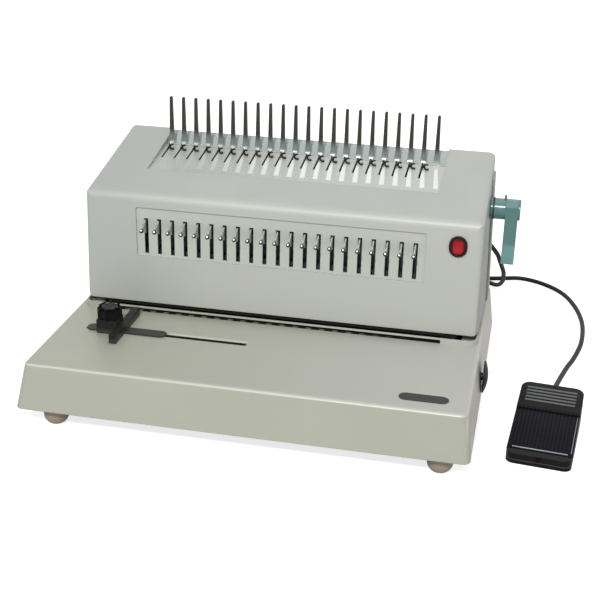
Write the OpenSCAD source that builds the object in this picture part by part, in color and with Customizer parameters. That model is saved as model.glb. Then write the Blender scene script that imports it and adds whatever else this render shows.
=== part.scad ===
// Electric comb binding machine with its foot pedal.
// Millimetres, +Z up, the front faces -Y. Built in the machine's own axes: x = 0 is the middle of the row of
// dies, y = 0 the front of the head and z = 0 the desk. A last shift centres the machine and its pedal.

/* [Comb pattern] */
// Distance from one ring hole to the next along the spine
comb_pitch = 14.2875; // [13.8:0.0125:14.5]
// Width of a punched hole along the spine
hole_w = 8; // [7:0.1:8.5]
// Depth of a punched hole
hole_d = 3; // [2.5:0.1:3.5]

/* [Base] */
// Width of the base at its lower edge
base_w = 448; // [440:1:470]
// Depth of the base at its lower edge
base_d = 331; // [325:1:350]
// Height of the base housing, from its lower edge to the table
base_h = 44; // [42:1:50]
// How far each side wall leans in up to the table
side_lean = 6; // [4:0.5:10]
// How far the front wall leans in up to the table
front_lean = 14; // [8:0.5:18]
// How far the base sits to the right of the head's middle
base_shift = -2; // [-2:0.5:2]
// How far the base's lower edge reaches in front of the head
table_reach = 168; // [150:1:172]
// How far the throat's lip stands in front of the head
lip_reach = 9; // [8:0.5:10]
// Height of the throat's lip above the table
lip_h = 6.2; // [6:0.1:8]
// Radius of the table's rounded edges
table_edge_r = 4.5; // [3:0.5:8]
// Radius of the base's upright corners
base_corner_r = 8; // [6:0.5:14]
// Thickness of the sheet housings
wall = 2; // [1.5:0.1:2]
// Height of the rubber feet
foot_h = 24; // [16:1:30]
// Diameter of a foot
foot_d = 25; // [20:1:32]
// Radius of a foot's lower edge
foot_r = 10; // [3:0.5:12]
// Distance from the base's sides to the middle of a foot
foot_inset = 31; // [25:1:50]
// Distance from the base's front and rear to the middle of a foot
foot_setback = 25; // [20:1:40]

/* [Head] */
// Width of the head cover
head_w = 419; // [415:1:425]
// Depth of the head cover
head_d = 150; // [148:1:156]
// Gap from the table up to the head cover's lower edge
head_lift = 8.4; // [8:0.1:10]
// Height of the roof line above the table at the head's front
head_front_h = 130.4; // [128:0.1:136]
// Slope of the roof
head_slope = 11.8; // [10.5:0.1:13]
// How far each side of the head leans out from the roof down to its lower edge
head_flare = 3.3; // [1:0.1:5]
// Radius of the rounded edge between front and roof
head_edge_r = 10; // [6:0.5:14]
// Radius of the head's upright front corners
head_corner_r = 8; // [5:0.5:12]
// Radius of the head's lower front corners
hem_r = 6; // [3:0.5:8]
// Distance behind the head's front from which its sides come down to the table
throat_d = 38; // [36:1:42]
// Length of the rear cover's wings along the head's sides
rear_wing = 30; // [20:1:32]

/* [Front panel] */
// Width of the window for the slotted panel
panel_w = 307; // [300:1:316]
// Height of the window's lower edge above the table
panel_low = 62; // [58:0.5:63]
// Height of the window
panel_h = 54; // [50:0.5:56]
// Width of a selector slot
slot_w = 4.4; // [3.4:0.1:5]
// Height of a selector slot
slot_h = 39.4; // [36:0.2:42]
// Diameter of a selector's chrome ball
ball_d = 4.5; // [3.5:0.1:5.5]
// How far the ball stands out of the head
ball_reach = 14; // [10:0.5:18]
// How far a selector is pulled out to set its die aside
selector_travel = 6; // [4:0.5:8]
// Thickness of a selector's blade
blade_t = 1.6; // [1.2:0.1:2]

/* [Power switch] */
// Width of the switch bezel
bezel_w = 18.5; // [17:0.5:21]
// Height of the switch bezel
bezel_h = 22; // [21:0.5:25]
// Distance of the switch from the middle of the head
switch_x = 185.5; // [176:0.5:188]
// Height of the switch above the table
switch_up = 105.5; // [90:0.5:110]

/* [Comb opener] */
// Width of the deck opening in the roof
deck_w = 316; // [312:1:320]
// Distance of the deck's front edge from the head's front
deck_front = 54.6; // [50:0.2:58]
// Distance of the deck's rear edge from the head's front
deck_rear = 126; // [124:0.2:127]
// Depth of the deck's rear edge below the roof
deck_drop = 6.3; // [5:0.1:8]
// Thickness of the deck plate
deck_t = 2; // [1.5:0.1:2.5]
// Height of a finger
finger_h = 54; // [45:0.5:60]
// Width of a finger above its flared foot
finger_w = 4.8; // [3.5:0.1:5.5]
// Width of a finger's flared foot
finger_foot_w = 7.5; // [6:0.1:9]
// Height of a finger's flared foot
finger_foot_h = 12; // [8:0.5:16]
// Width of a finger at its tip
tip_w = 3.1; // [2:0.1:3.2]
// Sideways shift of the fingers from the middle of the dies
finger_shift = -3; // [-5:0.5:5]
// Thickness of a hook
hook_t = 1.4; // [1:0.1:1.8]
// Distance of the lever's shaft from the head's front
shaft_y = 102; // [100:0.5:104]
// Depth of the lever's shaft below the deck
shaft_depth = 32; // [31:0.5:34]
// Diameter of the lever's shaft
shaft_d = 10; // [8:0.5:12]
// Diameter of the lever's hub
hub_d = 22.4; // [20:0.2:25]
// How far the hub stands out of the head's side
hub_reach = 32.5; // [30:0.5:38]
// Thickness of the lever's arm
arm_t = 13.6; // [11:0.2:15]
// Length of the lever's arm below its shaft
arm_l = 58; // [50:0.5:66]
// Angle that the lever is pulled through
lever_sweep = 100; // [90:1:105]

/* [Punch] */
// Clear height of the paper throat
throat_h = 4.6; // [4.5:0.1:5]
// Distance of the row of holes behind the head's front
hole_y = 16; // [15:0.5:18]
// Travel of the ram
ram_stroke = 16.5; // [16:0.1:17]
// Angle that the camshaft turns through for one stroke
cam_sweep = 150; // [130:1:160]
// Distance of the camshaft from the head's front
cam_y = 82; // [81:0.5:84]
// Height of the camshaft above the table
cam_up = 44; // [43:0.5:46]
// Diameter of the camshaft
cam_d = 12; // [10:0.5:14]

/* [Side guide] */
// Distance of the guide's slot in front of the head
guide_y = 60; // [50:1:70]
// Length of the guide's flat slider
slider_l = 86; // [70:1:95]
// Width of the guide's flat slider
slider_w = 13; // [10:0.5:16]
// Length of the paper bar
bar_l = 74; // [60:1:80]
// Diameter of the clamp knob
knob_d = 26; // [22:0.5:28]
// Height of the clamp knob
knob_h = 15; // [10:0.5:18]
// Travel of the side guide
guide_travel = 80; // [60:1:90]

/* [Margin stop] */
// Diameter of the margin knob
margin_knob_d = 33; // [26:0.5:34]
// Distance of the margin knob in front of the head
margin_y = 20; // [18:0.5:24]
// Height of the margin knob's axis below the table
margin_down = 26; // [25:0.5:27]

/* [Chip tray] */
// Width of the chip tray
tray_w = 46; // [40:0.5:50]
// Height of the chip tray
tray_h = 26; // [20:0.5:27]

/* [Pedal] */
// Width of the pedal
pedal_w = 63; // [58:0.5:75]
// Length of the pedal
pedal_l = 109; // [100:0.5:120]
// Height of the pedal at its rear
pedal_rear_h = 34.5; // [32:0.5:38]
// Height of the pedal at its front
pedal_front_h = 13; // [12.5:0.5:16]
// Radius of the pedal's corners
pedal_corner_r = 8; // [4:0.5:10]
// Thickness of the treadle
treadle_t = 7; // [6:0.5:8]
// Place of the pedal's middle beside the machine
pedal_x = 288.7; // [280:0.1:330]
// Place of the pedal's middle in front of the head
pedal_y = 61; // [40:0.5:90]
// Turn of the pedal against the machine, clockwise
pedal_turn = 5.4; // [0:0.1:10]

/* [Cord] */
// Diameter of the pedal's cord
cord_d = 5.4; // [4:0.1:6]

/* [Hidden] */
$fn = 48;
die_count = 21;
finger_count = die_count + 1;
slip = 0.3;
run = 0.05;
fillet_steps = 10;
// Heights and half widths of the housings
table_z = foot_h + base_h;
base_front = -table_reach;
base_rear = base_d - table_reach;
half_base = base_w / 2;
base_left = base_shift - half_base;
base_right = base_shift + half_base;
half_head = head_w / 2;
head_z = table_z + head_lift;
frame_side = 24.5;
frame_in = half_head - frame_side;
frame_t = 5;
frame_out = frame_in + frame_t;
roof_z = table_z + head_front_h;
function roof(y) = roof_z + y * tan(head_slope);
function roof_under(y) = roof(y) - wall / cos(head_slope);
wing_y = head_d - rear_wing;
wing_top = roof(wing_y) - head_edge_r - 4;
flare_a = atan(head_flare / (head_front_h - head_lift));
function side_out(z) = half_head + (roof_z - z) * tan(flare_a);
widest = half_head + 2 * head_flare;
crown_out = 0.6;
lip_half = half_head + head_flare;
lip_r = 10;
// Heights along the head's leaning sides, down from the roof's front edge
hem_z = (head_lift - head_front_h) / cos(flare_a);
skirt_low = -head_front_h / cos(flare_a) + 2 * run;
wing_high = (wing_top - slip - roof_z) / cos(flare_a);
head_gap_x = frame_out + 6;
head_gap_y = [wall - lip_reach, head_d - 2 * wall];
pan_t = 2;
pan_z = foot_h + pan_t;
// Side frames
frame_front = 4;
frame_rear = head_d - 10;
neck_y = 26;
toe_y = -34;
toe_z = table_z - 6;
bush_wall = 3;
post_d = 10;
post_places = [[45, table_z + 27], [108, table_z + 17]];
// Slotted panel and selectors
panel_z = table_z + panel_low;
panel_t = 1.5;
panel_lap = 6;
slot_z = panel_z + 2.6;
blade_low = slot_z + slot_h - 15;
blade_top = slot_z + slot_h - 1;
ball_z = slot_z + slot_h - 9;
function die_x(i) = (i - (die_count - 1) / 2) * comb_pitch;
function selector_name(i) = str("die_selector_", i < 9 ? "0" : "", i + 1);
// Comb deck, fingers and hooks
deck_front_z = roof_under(deck_front);
deck_rear_z = roof(deck_rear) - deck_drop;
deck_a = atan((deck_rear_z - deck_front_z) / (deck_rear - deck_front));
function deck_top(y) = deck_front_z + (y - deck_front) * tan(deck_a);
deck_lap = 6;
deck_flange = 2;
trough_floor = 6;
trough_rise = 15;
finger_t = 3;
finger_y = deck_rear + finger_t / 2 + 0.1;
function finger_x(i) = (i - (finger_count - 1) / 2) * comb_pitch + finger_shift;
shaft_r = shaft_d / 2;
shaft_z = deck_top(shaft_y) - shaft_depth / cos(deck_a);
function on_deck(y) = (y - shaft_y + shaft_depth * sin(deck_a)) / cos(deck_a);
comb_module = 2;
comb_teeth = 16;
comb_r = comb_module * comb_teeth / 2;
addendum = 0.8;
dedendum = 1.1;
gear_play = 0.3;
hook_travel = comb_r * lever_sweep * PI / 180;
handle_pin_x = half_head + 16;
hub_end = 2;
handle_pin_r = 1.2;
hook_stem = 4;
hook_ring_r = 4.2;
hook_eye_r = 2.2;
hook_y = on_deck(deck_rear - 3) - hook_ring_r;
carriage_low = comb_r + addendum * comb_module + 1.4;
carriage_top = shaft_depth - deck_t - 1.2;
carriage_half = frame_in - 15;
plate_x = [carriage_half - 6, carriage_half - 1];
leg_y = -comb_r - addendum * comb_module - 1;
leg_w = 8;
rack_lead = 8;
rack_low = -comb_r - 9;
// Punch and die
die_bed_z = table_z - 10;
plate_front = wall - lip_reach + slip;
plate_rear = hole_y + 12;
guide_z = table_z + throat_h;
guide_lip = 2.2;
guide_h = 12;
lip_y = 1;
block_y = hole_y - 5;
throat_half = frame_in - 10;
pin_low = guide_z + 0.5;
ram_half = frame_in - 6;
ram_low = table_z + 42;
ram_high = ram_low + 25;
ram_front = hole_y - 6;
ram_back = hole_y + 24;
comb_wall_y = [20, 30];
tongue_y = [30, 38];
pin_seat = 8;
cam_z = table_z + cam_up;
cam_r = cam_d / 2;
cam_base_r = ram_stroke / (cam_sweep * PI / 180);
cam_low = 16;
cam_x = 150;
cam_t = 12;
cam_gap = 0.1;
cam_start = cam_low / cam_base_r * 180 / PI;
pad_top = cam_z - cam_low - cam_gap;
pad_t = 12;
pad_w = 30;
pad_rear = cam_y + 18;
drive_module = 2;
drive_teeth = 28;
motor_teeth = 14;
drive_gap = drive_module * (drive_teeth + motor_teeth) / 2;
gear_x = [104, 116];
motor_d = 46;
motor_room = 5;
motor_y = head_d - wall - motor_d / 2 - motor_room;
motor_z = cam_z + sqrt(drive_gap ^ 2 - (motor_y - cam_y) ^ 2);
drive_angle = atan2(motor_z - cam_z, motor_y - cam_y);
motor_x = [-70, 50, 95];
motor_shaft_r = 5;
// Side guide, laid out from the middle of its clamp knob
guide_x = -164;
slider_x = guide_x - 25;
slider_t = 1.7;
block_w = 22;
guide_block_h = 15;
bar_w = 7.5;
bar_h = 9;
bar_front = -guide_y - 32;
key_t = 3.6;
key_l = 18;
nut_t = 3.5;
guide_slot_x = [guide_x - 26, guide_x + 145];
knob_screw_r = 3;
// Margin knob and its stop
margin_z = table_z - margin_down;
margin_module = 0.8;
margin_teeth = 14;
margin_r = margin_module * margin_teeth / 2;
margin_stem_r = 4;
rack_x = [frame_in - 13, frame_in - 4];
stop_half = throat_half - 3;
margin_knob_t = 5;
margin_rim = 1.2;
stop_leg = 5;
stop_rear = plate_rear + 3 + stop_leg;
margin_reach = 3.5;
// Chip tray
tray_y = [hole_y - tray_w / 2, hole_y + tray_w / 2];
tray_z = pan_z + slip;
tray_x = [base_left + 4, 165];
tray_wall = 1.6;
// Switch and rear fittings
bezel_lip = 0.8;
bezel_d = 18;
rocker_in = 2.6;
rocker_room = 1.9;
rocker_r = bezel_h / 2 - 3;
rocker_y = 3;
rocker_tilt = 6;
pivot_r = 1.5;
pivot_half = bezel_w / 2 - rocker_room + 0.5;
inlet_x = -150;
inlet_z = table_z + 44;
inlet_w = 27;
inlet_h = 20;
inlet_d = 18;
inlet_wall = 2;
blade_l = 12;
vent_w = 4;
vent_h = 20;
vent_step = [14, 26];
vent_z = table_z + 77;
gland_x = 195;
gland_z = table_z + 50;
gland_l = 24;
screw_r = 1.6;
screw_head_r = 3.4;
screw_head_t = 1.8;
screw_l = 6;
screw_spots = [for (sx = [-1, 0, 1], up = [17, 121]) [sx * (half_head - 14), table_z + up]];
// Pedal, in its own axes: x across, y towards its cord, z = 0 the floor
pedal_slope = (pedal_rear_h - pedal_front_h) / pedal_l;
function pedal_top(y) = pedal_rear_h - (pedal_l / 2 - y) * pedal_slope;
pedal_wall = 2.5;
toe_l = 7;
treadle_front = -pedal_l / 2 + toe_l + 0.5;
hinge_y = pedal_l / 2 - 8.5;
hinge_z = pedal_top(hinge_y) - treadle_t - 6;
hinge_r = 3;
pedal_play = 4.6;
boot_z = 12;
boot_l = 8;
// Cord from the gland over the floor to the pedal, with one loose loop behind the machine
cord_z = cord_d / 2;
cord_hang = [[195, 173, 118], [195.5, 183, 117.5], [199, 192, 114.5], [206, 200, 108], [212, 207, 100],
             [218, 217, 88], [222, 229, 74.5], [225, 240, 64], [227, 252, 52], [227.5, 266, 40.5],
             [226.5, 288, 24], [220, 316, 7]];
cord_loop = [[208, 332], [192, 335], [170, 331], [147, 324], [124, 322], [105, 331], [100, 347], [112, 360],
             [133, 362], [156, 355], [180, 347], [205, 345.5], [230, 352.5], [245, 356.5], [261, 353.5],
             [277, 345]];
cord_floor = [[294, 330], [307, 310.5], [317, 284], [323.5, 257], [327, 230], [327.5, 202], [325.5, 172],
              [321, 146], [315.5, 123], [309, 101], [303, 81], [299, 58]];
cord_rise = [[297, 38, 3.5], [295.8, 18, 8.5], [294.4, -1, 12]];
boot_back = pedal_l / 2 + boot_l - 2.2;
cord_start = [gland_x, head_d + gland_l - 1, gland_z];
cord_end = [pedal_x + boot_back * sin(pedal_turn), -pedal_y + boot_back * cos(pedal_turn), boot_z];
start_move = cord_start - cord_hang[0];
end_move = cord_end - cord_rise[2];
cord_route = concat(
    [for (k = [0:11]) cord_hang[k] + start_move * max(0, min(1, (11 - k) / 9))],
    [for (p = cord_loop) [p[0], p[1], cord_z]],
    [for (k = [0:11]) [cord_floor[k][0], cord_floor[k][1], cord_z] + [end_move[0], end_move[1], 0] * k / 12],
    [for (p = cord_rise) p + end_move]);
cord_sides = 10;
cord_step = 2.8 * cord_d;
// Centre of the machine and its pedal
pedal_side = cos(pedal_turn) * (pedal_w / 2 - pedal_corner_r) + sin(pedal_turn) * (pedal_l / 2 - pedal_corner_r)
             + pedal_corner_r;
centre = [(pedal_x + pedal_side + base_left) / 2, (base_front + base_rear) / 2, 0];

selector_nodes = [for (i = [0:die_count - 1]) selector_name(i)];

// Shapes used by several pieces

// An outline drawn in (y, z), extruded along x
module prism_x(x0, x1) {
    translate([x0, 0, 0]) rotate([90, 0, 90]) linear_extrude(x1 - x0) children();
}

// An outline drawn in (x, z), extruded along y
module prism_y(y0, y1) {
    translate([0, y1, 0]) rotate([90, 0, 0]) linear_extrude(y1 - y0) children();
}

module block(low, high) {
    translate(low) cube(high - low);
}

module rod_x(r, x0, x1, y, z) {
    translate([x0, y, z]) rotate([0, 90, 0]) cylinder(r = r, h = x1 - x0);
}

module rod_y(r, y0, y1, x, z) {
    translate([x, y1, z]) rotate([90, 0, 0]) cylinder(r = r, h = y1 - y0);
}

module rounded(w, d, r) {
    square([w, d - 2 * r], center = true);
    square([w - 2 * r, d], center = true);
    for (sx = [-1, 1], sy = [-1, 1]) translate([sx * (w / 2 - r), sy * (d / 2 - r)]) circle(r);
}

// Points of an arc about c, from angle a0 to a1
function arc(c, r, a0, a1) =
    [for (k = [0:fillet_steps]) let (a = a0 + (a1 - a0) * k / fillet_steps) c + r * [cos(a), sin(a)]];

// Half the angle of a gear tooth at radius r
function involute_angle(a) = (tan(a) - a * PI / 180) * 180 / PI;
function tooth_half(pitch_r, teeth, r) =
    90 / teeth - gear_play / 4 / pitch_r * 180 / PI
    + involute_angle(20) - involute_angle(acos(min(1, pitch_r * cos(20) / r)));

// Spur gear with a tooth centred on the angle given
module gear(mod, teeth, angle) {
    pitch_r = mod * teeth / 2;
    tip_r = pitch_r + addendum * mod;
    root_r = pitch_r - dedendum * mod;
    start_r = max(root_r, pitch_r * cos(20));
    flank = [for (k = [0:3]) start_r + (tip_r - start_r) * k / 3];
    half = [for (r = flank) tooth_half(pitch_r, teeth, r)];
    polygon([for (t = [0:teeth - 1])
        let (a = angle + t * 360 / teeth)
        each concat(
            [root_r * [cos(a - half[0]), sin(a - half[0])]],
            [for (k = [0:3]) flank[k] * [cos(a - half[k]), sin(a - half[k])]],
            [for (k = [3:-1:0]) flank[k] * [cos(a + half[k]), sin(a + half[k])]],
            [root_r * [cos(a + half[0]), sin(a + half[0])]])]);
}

// Rack teeth that point up from the line y = -dedendum, with a tooth centred on x = 0
module rack(mod, x0, x1) {
    pitch = PI * mod;
    half = pitch / 4 - gear_play / 4;
    for (k = [ceil(x0 / pitch):floor(x1 / pitch)])
        translate([k * pitch, 0])
            polygon([[-half - dedendum * mod * tan(20), -dedendum * mod],
                     [half + dedendum * mod * tan(20), -dedendum * mod],
                     [half - addendum * mod * tan(20), addendum * mod],
                     [-half + addendum * mod * tan(20), addendum * mod]]);
}

// Axes of the comb lever's shaft, with y along the deck's slope
module at_shaft() {
    translate([0, shaft_y, shaft_z]) rotate([deck_a, 0, 0]) children();
}

module at_pedal() {
    translate([pedal_x, -pedal_y, 0]) rotate([0, 0, -pedal_turn]) children();
}

// Housings

// Fillet centre and wall of a leaning side that runs from (0, 0) to (-lean, rise)
function lean_l(lean) = sqrt(lean ^ 2 + base_h ^ 2);
function lean_centre(lean) = -lean - table_edge_r * (lean_l(lean) - lean) / base_h;
function lean_in(lean, z, inset) = -(z - foot_h) * lean / base_h - inset * lean_l(lean) / base_h;
// Cutter that rounds, with radius r, the edge along e through p between walls that face n1 and n2
module edge_cutter(p, e, n1, n2, r, l) {
    u = e / norm(e);
    tilt = acos(u[2]);
    turn = atan2(u[1], u[0]);
    ax = [cos(tilt) * cos(turn), cos(tilt) * sin(turn), -sin(tilt)];
    ay = [-sin(turn), cos(turn), 0];
    a1 = atan2(n1 * ay, n1 * ax);
    a2 = atan2(n2 * ay, n2 * ax);
    sweep = (a2 - a1 + 540) % 360 - 180;
    c = -r / (1 + n1 * n2) * [(n1 + n2) * ax, (n1 + n2) * ay];
    translate(p) rotate([0, tilt, turn]) translate([0, 0, -l]) linear_extrude(2 * l)
        polygon(concat([-c], arc(c, r, a1, a1 + sweep)));
}

// The base's outer form, drawn in by inset and opened below by open
module base_body(inset, open) {
    low = foot_h - open;
    r = table_edge_r - inset;
    corner_r = base_corner_r - inset;
    foot = half_base + lean_in(side_lean, low, inset);
    side_c = [half_base + lean_centre(side_lean), table_z - table_edge_r];
    front_c = [base_front - lean_centre(front_lean), table_z - table_edge_r];
    half = half_base + lean_in(side_lean, foot_h, inset);
    front = base_front - lean_in(front_lean, foot_h, inset);
    front_n = [0, -base_h, front_lean] / lean_l(front_lean);
    translate([base_shift, 0, 0]) difference() {
        intersection() {
            prism_y(base_front - 1, base_rear - inset)
                polygon(concat([[-foot, low], [foot, low]],
                               arc(side_c, r, atan(side_lean / base_h), 90),
                               arc([-side_c[0], side_c[1]], r, 90, 180 - atan(side_lean / base_h))));
            prism_x(-half_base - 1, half_base + 1)
                polygon(concat([[base_front - lean_in(front_lean, low, inset), low]],
                               arc(front_c, r, 180 - atan(front_lean / base_h), 90),
                               [[base_rear + 1, table_z - inset], [base_rear + 1, low]]));
        }
        for (s = [-1, 1]) {
            side_n = [s * base_h, 0, side_lean] / lean_l(side_lean);
            edge_cutter([s * half, front, foot_h], [-s * side_lean, front_lean, base_h],
                        side_n, front_n, corner_r, 2 * base_h);
            edge_cutter([s * half, base_rear - inset, foot_h], [-s * side_lean, 0, base_h],
                        side_n, [0, 1, 0], corner_r, 2 * base_h);
        }
    }
}

// Axes on a side of the head, from its upper front corner and with z up the leaning wall
module at_side(s) {
    translate([s * half_head, 0, roof_z]) rotate([0, -s * flare_a, 0]) children();
}

// One side of the head's form: the leaning wall and the round upright corner in front of it
module head_side(s, inset, back) {
    reach = 2 * widest;
    at_side(s) translate([0, 0, -2 * head_front_h]) linear_extrude(4 * head_front_h) {
        translate([s > 0 ? -reach : inset, head_corner_r]) square([reach - inset, back - head_corner_r]);
        translate([s > 0 ? -reach : head_corner_r, inset]) square([reach - head_corner_r, back - inset]);
        translate([-s * head_corner_r, head_corner_r]) circle(head_corner_r - inset);
    }
}

// The head's outer form, drawn in by inset and opened below and behind by open
module head_body(inset, open) {
    low = head_z - open;
    back = head_d + open;
    edge = [head_edge_r, roof(head_edge_r) - head_edge_r / cos(head_slope)];
    crown = half_head - head_corner_r + crown_out;
    intersection() {
        prism_x(-widest, widest)
            polygon(concat([[inset, low]],
                           arc(edge, head_edge_r - inset, 180, 90 + head_slope),
                           [[back, roof(back) - inset / cos(head_slope)], [back, low]]));
        head_side(1, inset, back);
        head_side(-1, inset, back);
        translate([0, 0, roof_z]) rotate([head_slope, 0, 0]) prism_y(-head_d, 2 * head_d) {
            translate([-widest, -2 * head_d]) square([2 * widest, 2 * head_d - head_corner_r]);
            translate([-crown, -2 * head_d]) square([2 * crown, 2 * head_d - inset]);
            for (s = [-1, 1]) translate([s * crown, -head_corner_r]) circle(head_corner_r - inset);
        }
    }
}

// Plan of the lip round the paper throat, drawn in by inset and run on behind by more
module lip_plan(inset, more) {
    half = lip_half - inset;
    front = inset - lip_reach;
    r = lip_r - inset;
    back = throat_d + more;
    translate([-half, front + r]) square([2 * half, back - front - r]);
    translate([r - half, front]) square([2 * (half - r), back - front]);
    for (s = [-1, 1]) translate([s * (half - r), front + r]) circle(r);
}

module base_cover() {
    color("#B5B7AA") difference() {
        union() {
            base_body(0, 0);
            translate([0, 0, table_z - wall]) linear_extrude(wall + lip_h) lip_plan(0, 0);
        }
        base_body(wall, 1);
        translate([0, 0, table_z]) linear_extrude(lip_h + 1) lip_plan(wall, 1);
        block([-throat_half, -lip_reach - 1, table_z], [throat_half, 0, guide_z]);
        block([-head_gap_x, head_gap_y[0], table_z - 2 * wall], [head_gap_x, head_gap_y[1], table_z + 1]);
        block([guide_slot_x[0], -guide_y - key_t / 2 - slip, table_z - 2 * wall],
              [guide_slot_x[1], -guide_y + key_t / 2 + slip, table_z + 1]);
        block([base_left - 1, tray_y[0] - 2 * slip, pan_z],
              [-frame_out, tray_y[1] + 2 * slip, tray_z + tray_h + 2 * slip]);
        rod_x(margin_stem_r + 1, frame_out, base_right + 1, -margin_y, margin_z);
    }
}

module bottom_pan() {
    half = half_base + lean_in(side_lean, pan_z, wall) - run;
    front = base_front - lean_in(front_lean, pan_z, wall) + run;
    rear = base_rear - wall - run;
    color("#6E7073") translate([base_shift, (front + rear) / 2, foot_h])
        linear_extrude(pan_t) rounded(2 * half, rear - front, base_corner_r);
}

module rubber_feet() {
    color("#B3A590")
        for (x = [-half_base + foot_inset, half_base - foot_inset],
             y = [base_front + foot_setback, base_rear - foot_setback])
            translate([x, y, 0]) rotate_extrude()
                polygon(concat([[0, 0]], arc([foot_d / 2 - foot_r, foot_r], foot_r, -90, 0),
                               [[foot_d / 2 + 1, foot_h], [0, foot_h]]));
}

module side_frames() {
    frame_top = function (y) roof_under(y) - 4;
    color("#8A8D90") for (s = [-1, 1]) difference() {
        union() {
            prism_x(s > 0 ? frame_in : -frame_out, s > 0 ? frame_out : -frame_in)
                polygon([[toe_y, pan_z], [toe_y, toe_z], [frame_front, toe_z], [frame_front, ram_high],
                         [neck_y, ram_high + 8], [neck_y, frame_top(neck_y)],
                         [frame_rear, frame_top(frame_rear)], [frame_rear, pan_z]]);
            for (p = post_places) {
                end = side_out(p[1] + post_d / 2) - wall / cos(flare_a);
                rod_x(post_d / 2, s > 0 ? frame_out - 1 : -end, s > 0 ? end : 1 - frame_out, p[0], p[1]);
            }
        }
        rod_x(shaft_r + bush_wall, -frame_out - 1, frame_out + 1, shaft_y, shaft_z);
        rod_x(cam_r + bush_wall, -frame_out - 1, frame_out + 1, cam_y, cam_z);
        rod_x(margin_stem_r + run, frame_in - 1, frame_out + 1, -margin_y, margin_z);
        block([-frame_out - 1, tongue_y[0] - slip, ram_low + 2 - ram_stroke - slip],
              [frame_out + 1, tongue_y[1] + slip, ram_high - 2 + slip]);
        block([-frame_out - 1, tray_y[0] - 2 * slip, pan_z - 1],
              [-frame_in + 1, tray_y[1] + 2 * slip, tray_z + tray_h + 2 * slip]);
    }
}

module head_cover() {
    color("#B9BCB6") difference() {
        union() {
            head_body(0, 0);
            for (s = [-1, 1]) at_side(s)
                block([s > 0 ? -wall : 0, throat_d, skirt_low], [s > 0 ? 0 : wall, head_d - wall, hem_z + 1]);
        }
        head_body(wall, 1);
        prism_y(-1, wall + 1) translate([0, panel_z + panel_h / 2]) rounded(panel_w, panel_h, 2);
        prism_y(-1, wall + 1) translate([switch_x, table_z + switch_up]) switch_outline(-bezel_lip);
        block([-deck_w / 2, deck_front, roof_z - 20], [deck_w / 2, head_d + 1, roof(head_d) + 1]);
        rod_x(shaft_r + 2, frame_out, widest, shaft_y, shaft_z);
        for (s = [-1, 1]) {
            block([s > 0 ? half_head - wall - 1 : -widest, head_d - wall, table_z],
                  [s > 0 ? widest : -half_head + wall + 1, head_d + 1, wing_top]);
            at_side(s) prism_y(-1, throat_d)
                polygon(concat([[s, hem_z - 1], [-s * hem_r, hem_z - 1]],
                               arc([-s * hem_r, hem_z + hem_r], hem_r, 270, s > 0 ? 360 : 180),
                               [[s, hem_z + hem_r]]));
        }
    }
}

module front_panel() {
    color("#B9BCB6") difference() {
        block([-panel_w / 2 - panel_lap, wall, panel_z - panel_lap],
              [panel_w / 2 + panel_lap, wall + panel_t, panel_z + panel_h + panel_lap]);
        for (i = [0:die_count - 1])
            block([die_x(i) - slot_w / 2, 0, slot_z],
                  [die_x(i) + slot_w / 2, wall + panel_t + 1, slot_z + slot_h]);
    }
}

module rear_panel() {
    vents = [for (row = [0, 1], i = [-6:6]) [i * vent_step[0], vent_z + row * vent_step[1]]];
    color("#C0C2BB") difference() {
        union() {
            intersection() {
                head_body(wall, 1);
                block([-widest, head_d - wall, head_z], [widest, head_d, roof(head_d)]);
            }
            block([wall - half_head, head_d - wall, table_z], [half_head - wall, head_d, head_z + 1]);
            for (s = [-1, 1]) at_side(s) {
                block([s > 0 ? 0 : -wall, wing_y, skirt_low], [s > 0 ? wall : 0, head_d, wing_high]);
                block([s > 0 ? -4 * wall : -wall, head_d - wall, skirt_low],
                      [s > 0 ? wall : 4 * wall, head_d, wing_high]);
            }
        }
        for (v = vents)
            block([v[0] - vent_w / 2, head_d - wall - 1, v[1]], [v[0] + vent_w / 2, head_d + 1, v[1] + vent_h]);
        block([inlet_x - inlet_w / 2, head_d - wall - 1, inlet_z - inlet_h / 2],
              [inlet_x + inlet_w / 2, head_d + 1, inlet_z + inlet_h / 2]);
        rod_y(cord_d + 1, head_d - wall - 1, head_d + 1, gland_x, gland_z);
        for (p = screw_spots) rod_y(screw_r, head_d - wall - 1, head_d + 1, p[0], p[1]);
    }
}

// Comb opener

module comb_deck() {
    half = deck_w / 2 + deck_flange;
    color("#C3C3B8") difference() {
        union() {
            prism_x(-half, half)
                polygon([[deck_front - deck_lap, roof_under(deck_front - deck_lap)], [deck_front, deck_front_z],
                         [deck_rear, deck_rear_z], [deck_rear, deck_rear_z - deck_t],
                         [deck_front, deck_front_z - deck_t],
                         [deck_front - deck_lap, roof_under(deck_front - deck_lap) - deck_t]]);
            for (x0 = [-half, half - deck_flange]) prism_x(x0, x0 + deck_flange)
                polygon([[deck_front, deck_front_z - deck_t / 2], [deck_front, deck_front_z],
                         [deck_rear, roof_under(deck_rear)], [deck_rear, deck_rear_z - deck_t / 2]]);
        }
        at_shaft() for (i = [0:die_count - 1])
            translate([finger_x(i), hook_y, shaft_depth])
                block([-hook_t / 2 - slip, -hook_stem / 2 - hook_travel - slip, -3 * deck_t],
                      [hook_t / 2 + slip, hook_stem / 2 + slip, deck_t]);
    }
}

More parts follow.
